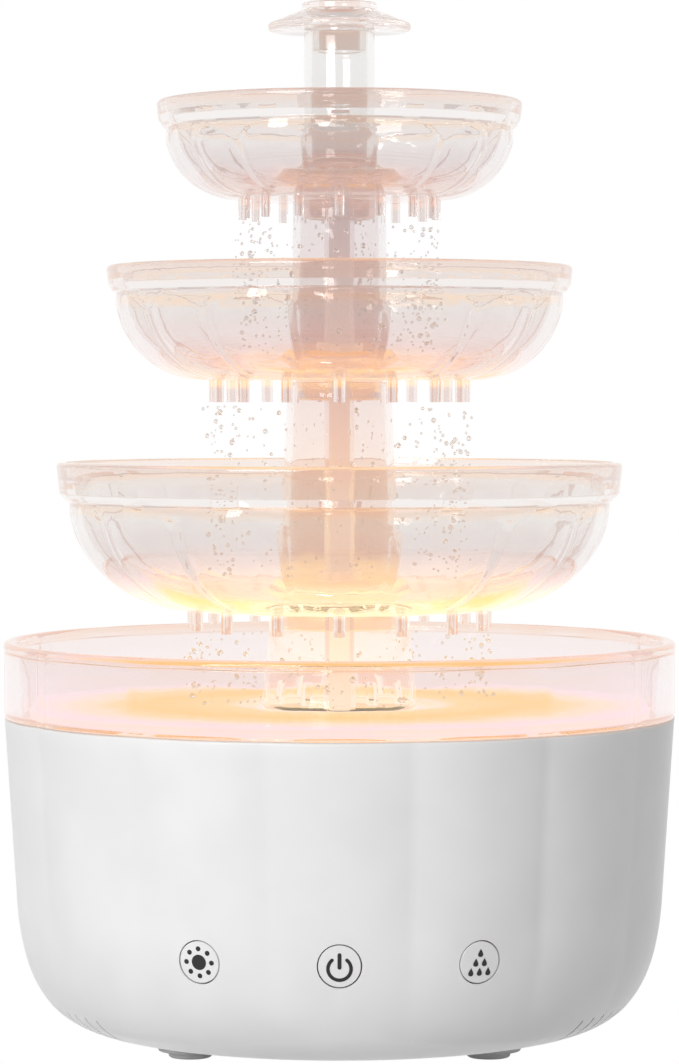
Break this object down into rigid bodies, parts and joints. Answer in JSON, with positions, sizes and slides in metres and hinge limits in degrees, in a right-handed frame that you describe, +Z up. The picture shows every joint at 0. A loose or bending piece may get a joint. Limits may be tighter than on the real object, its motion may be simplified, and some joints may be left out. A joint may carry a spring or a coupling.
{
  "type": "tabletop water fountain",
  "caption": "Tabletop fountain: white lobed base with push keys, clear basin and stacked clear nozzle bowls on hollow lit columns, umbrella spout on top.",
  "frame": {"origin": "on the ground, under the middle of the round base", "axes": "+Z up, -Y towards the front, where the keys are, +X to the right of someone who faces the keys"},
  "size_m": [0.1638, 0.1639, 0.2525],
  "materials": {
    "white_abs": "fine satin",
    "clear_acrylic": "clear polished",
    "opal_diffuser": "translucent matte",
    "grey_rubber": "matte",
    "silicone": "translucent satin",
    "black_plastic": "satin",
    "circuit_board": "satin",
    "led_body": "glossy",
    "zinc_steel": "zinc plated",
    "ceramic": "ground smooth"
  },
  "bodies": {
    "base": {"base_shell": "white_abs", "bottom_cover": "white_abs", "foot_front_left": "grey_rubber", "foot_front_right": "grey_rubber", "foot_back_left": "grey_rubber", "foot_back_right": "grey_rubber", "cover_screw_1": "zinc_steel", "cover_screw_2": "zinc_steel", "cover_screw_3": "zinc_steel", "cover_screw_4": "zinc_steel", "control_board": "circuit_board", "board_screw_left": "zinc_steel", "board_screw_right": "zinc_steel", "light_switch": "black_plastic", "power_switch": "black_plastic", "rain_switch": "black_plastic", "power_jack": "black_plastic", "jack_nut": "zinc_steel", "led_board": "circuit_board", "led_1": "led_body", "led_2": "led_body", "led_3": "led_body", "led_4": "led_body", "led_5": "led_body", "led_6": "led_body", "main_board": "circuit_board", "light_diffuser": "opal_diffuser", "basin": "clear_acrylic", "basin_gasket": "silicone", "pump_body": "black_plastic", "pump_cover": "black_plastic", "pump_shaft": "ceramic"},
    "light_key": {"light_key": "white_abs"},
    "power_key": {"power_key": "white_abs"},
    "rain_key": {"rain_key": "white_abs"},
    "pump_rotor": {"pump_rotor": "black_plastic"},
    "lower_tier": {"lower_column": "clear_acrylic", "large_bowl": "clear_acrylic", "riser_lower": "clear_acrylic", "riser_seal_lower": "silicone"},
    "middle_tier": {"middle_column": "clear_acrylic", "middle_bowl": "clear_acrylic", "riser_middle": "clear_acrylic", "riser_seal_upper": "silicone"},
    "upper_tier": {"upper_column": "clear_acrylic", "small_bowl": "clear_acrylic", "riser_upper": "clear_acrylic", "spout_seal": "silicone", "spout_tube": "clear_acrylic"},
    "spout_cap": {"spout_cap": "clear_acrylic"}
  },
  "joints": [
    {"name": "light_key_press", "type": "slide", "parent": "base", "child": "light_key", "axis": [0.4067, 0.9135, 0], "range_m": [0, 0.0008], "stiffness_N_per_m": 800, "springref_m": -0.001},
    {"name": "power_key_press", "type": "slide", "parent": "base", "child": "power_key", "axis": [0, 1, 0], "range_m": [0, 0.0008], "stiffness_N_per_m": 800, "springref_m": -0.001},
    {"name": "rain_key_press", "type": "slide", "parent": "base", "child": "rain_key", "axis": [-0.4067, 0.9135, 0], "range_m": [0, 0.0008], "stiffness_N_per_m": 800, "springref_m": -0.001},
    {"name": "pump_spin", "type": "hinge", "parent": "base", "child": "pump_rotor", "pos_m": [-0.009, 0, 0.0602], "axis": [0, 0, 1], "continuous": true},
    {"name": "lower_tier_lift", "type": "slide", "parent": "base", "child": "lower_tier", "axis": [0, 0, 1], "range_m": [0, 0.045]},
    {"name": "middle_tier_lift", "type": "slide", "parent": "lower_tier", "child": "middle_tier", "axis": [0, 0, 1], "range_m": [0, 0.045]},
    {"name": "upper_tier_lift", "type": "slide", "parent": "middle_tier", "child": "upper_tier", "axis": [0, 0, 1], "range_m": [0, 0.045]},
    {"name": "cap_lift", "type": "slide", "parent": "upper_tier", "child": "spout_cap", "axis": [0, 0, 1], "range_m": [0, 0.03]}
  ]
}
